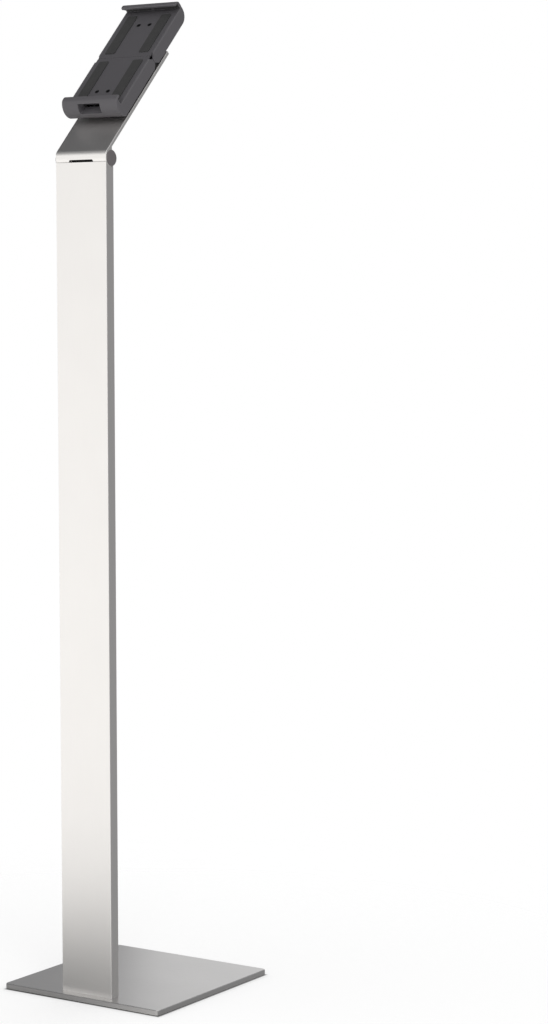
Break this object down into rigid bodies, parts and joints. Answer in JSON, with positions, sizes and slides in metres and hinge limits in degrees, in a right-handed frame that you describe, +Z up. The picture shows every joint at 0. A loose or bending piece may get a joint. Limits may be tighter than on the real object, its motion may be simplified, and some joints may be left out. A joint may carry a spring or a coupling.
{
  "type": "tablet floor stand",
  "caption": "Floor stand for a tablet: square steel base, flat extruded column, tilting arm and a turning two-jaw sprung clamp.",
  "frame": {"origin": "on the floor, under the centre of the square base plate", "axes": "+Z up the column, +X to the right seen from the front, front towards -Y; the arm leans back towards +Y"},
  "size_m": [0.23, 0.23, 1.1918],
  "materials": {
    "brushed_plate": "satin brushed stainless plate",
    "satin_aluminium": "satin anodised extrusion",
    "cast_zinc": "blasted casting",
    "zinc_steel": "zinc plated",
    "bright_steel": "ground and polished",
    "spring_steel": "oiled spring steel",
    "grey_cap_plastic": "fine moulded texture",
    "swivel_cover": "satin painted moulding",
    "charcoal_plastic": "fine moulded texture",
    "charcoal_cover": "fine moulded texture",
    "black_plastic": "moulded",
    "black_acetal": "machined",
    "natural_acetal": "moulded",
    "black_screws": "black oxide",
    "black_rubber": "matt"
  },
  "bodies": {
    "stand": {"base_plate": "brushed_plate", "base_feet": "black_rubber", "column_screws": "zinc_steel", "column": "satin_aluminium", "hinge_block": "cast_zinc", "block_screws": "zinc_steel", "cable_grommet": "black_plastic", "hinge_shaft": "bright_steel", "disc_springs": "spring_steel", "hinge_nuts": "zinc_steel"},
    "arm": {"arm": "satin_aluminium", "arm_bushes": "natural_acetal", "friction_washers": "spring_steel", "left_hinge_cap": "grey_cap_plastic", "right_hinge_cap": "grey_cap_plastic", "swivel_cap": "swivel_cover", "glide_ring": "natural_acetal"},
    "holder": {"swivel_disc": "black_plastic", "retaining_disc": "zinc_steel", "retainer_screws": "zinc_steel", "wave_washer": "spring_steel", "carrier_plate": "zinc_steel", "disc_screws": "zinc_steel", "carrier_screws": "zinc_steel", "lower_housing": "charcoal_plastic", "lower_cover": "charcoal_cover", "lower_cover_screws": "black_screws", "lower_pads": "black_rubber", "guide_block": "black_acetal", "guide_screws": "zinc_steel", "closing_springs": "spring_steel"},
    "jaw": {"upper_housing": "charcoal_plastic", "upper_cover": "charcoal_cover", "upper_cover_screws": "black_screws", "upper_pads": "black_rubber", "guide_rods": "bright_steel", "rod_collars": "zinc_steel"}
  },
  "joints": [
    {"name": "arm_tilt", "type": "hinge", "parent": "stand", "child": "arm", "pos_m": [0, -0.09105, 1.0007], "axis": [1, 0, 0], "range_deg": [-45, 30]},
    {"name": "holder_swivel", "type": "hinge", "parent": "arm", "child": "holder", "pos_m": [0, -0.00033, 1.10882], "axis": [0, -0.7071, 0.7071], "continuous": true},
    {"name": "jaw_slide", "type": "slide", "parent": "holder", "child": "jaw", "axis": [0, 0.7071, 0.7071], "range_m": [0, 0.038], "stiffness_N_per_m": 300, "springref_m": -0.03, "deforming": ["closing_springs"]}
  ]
}
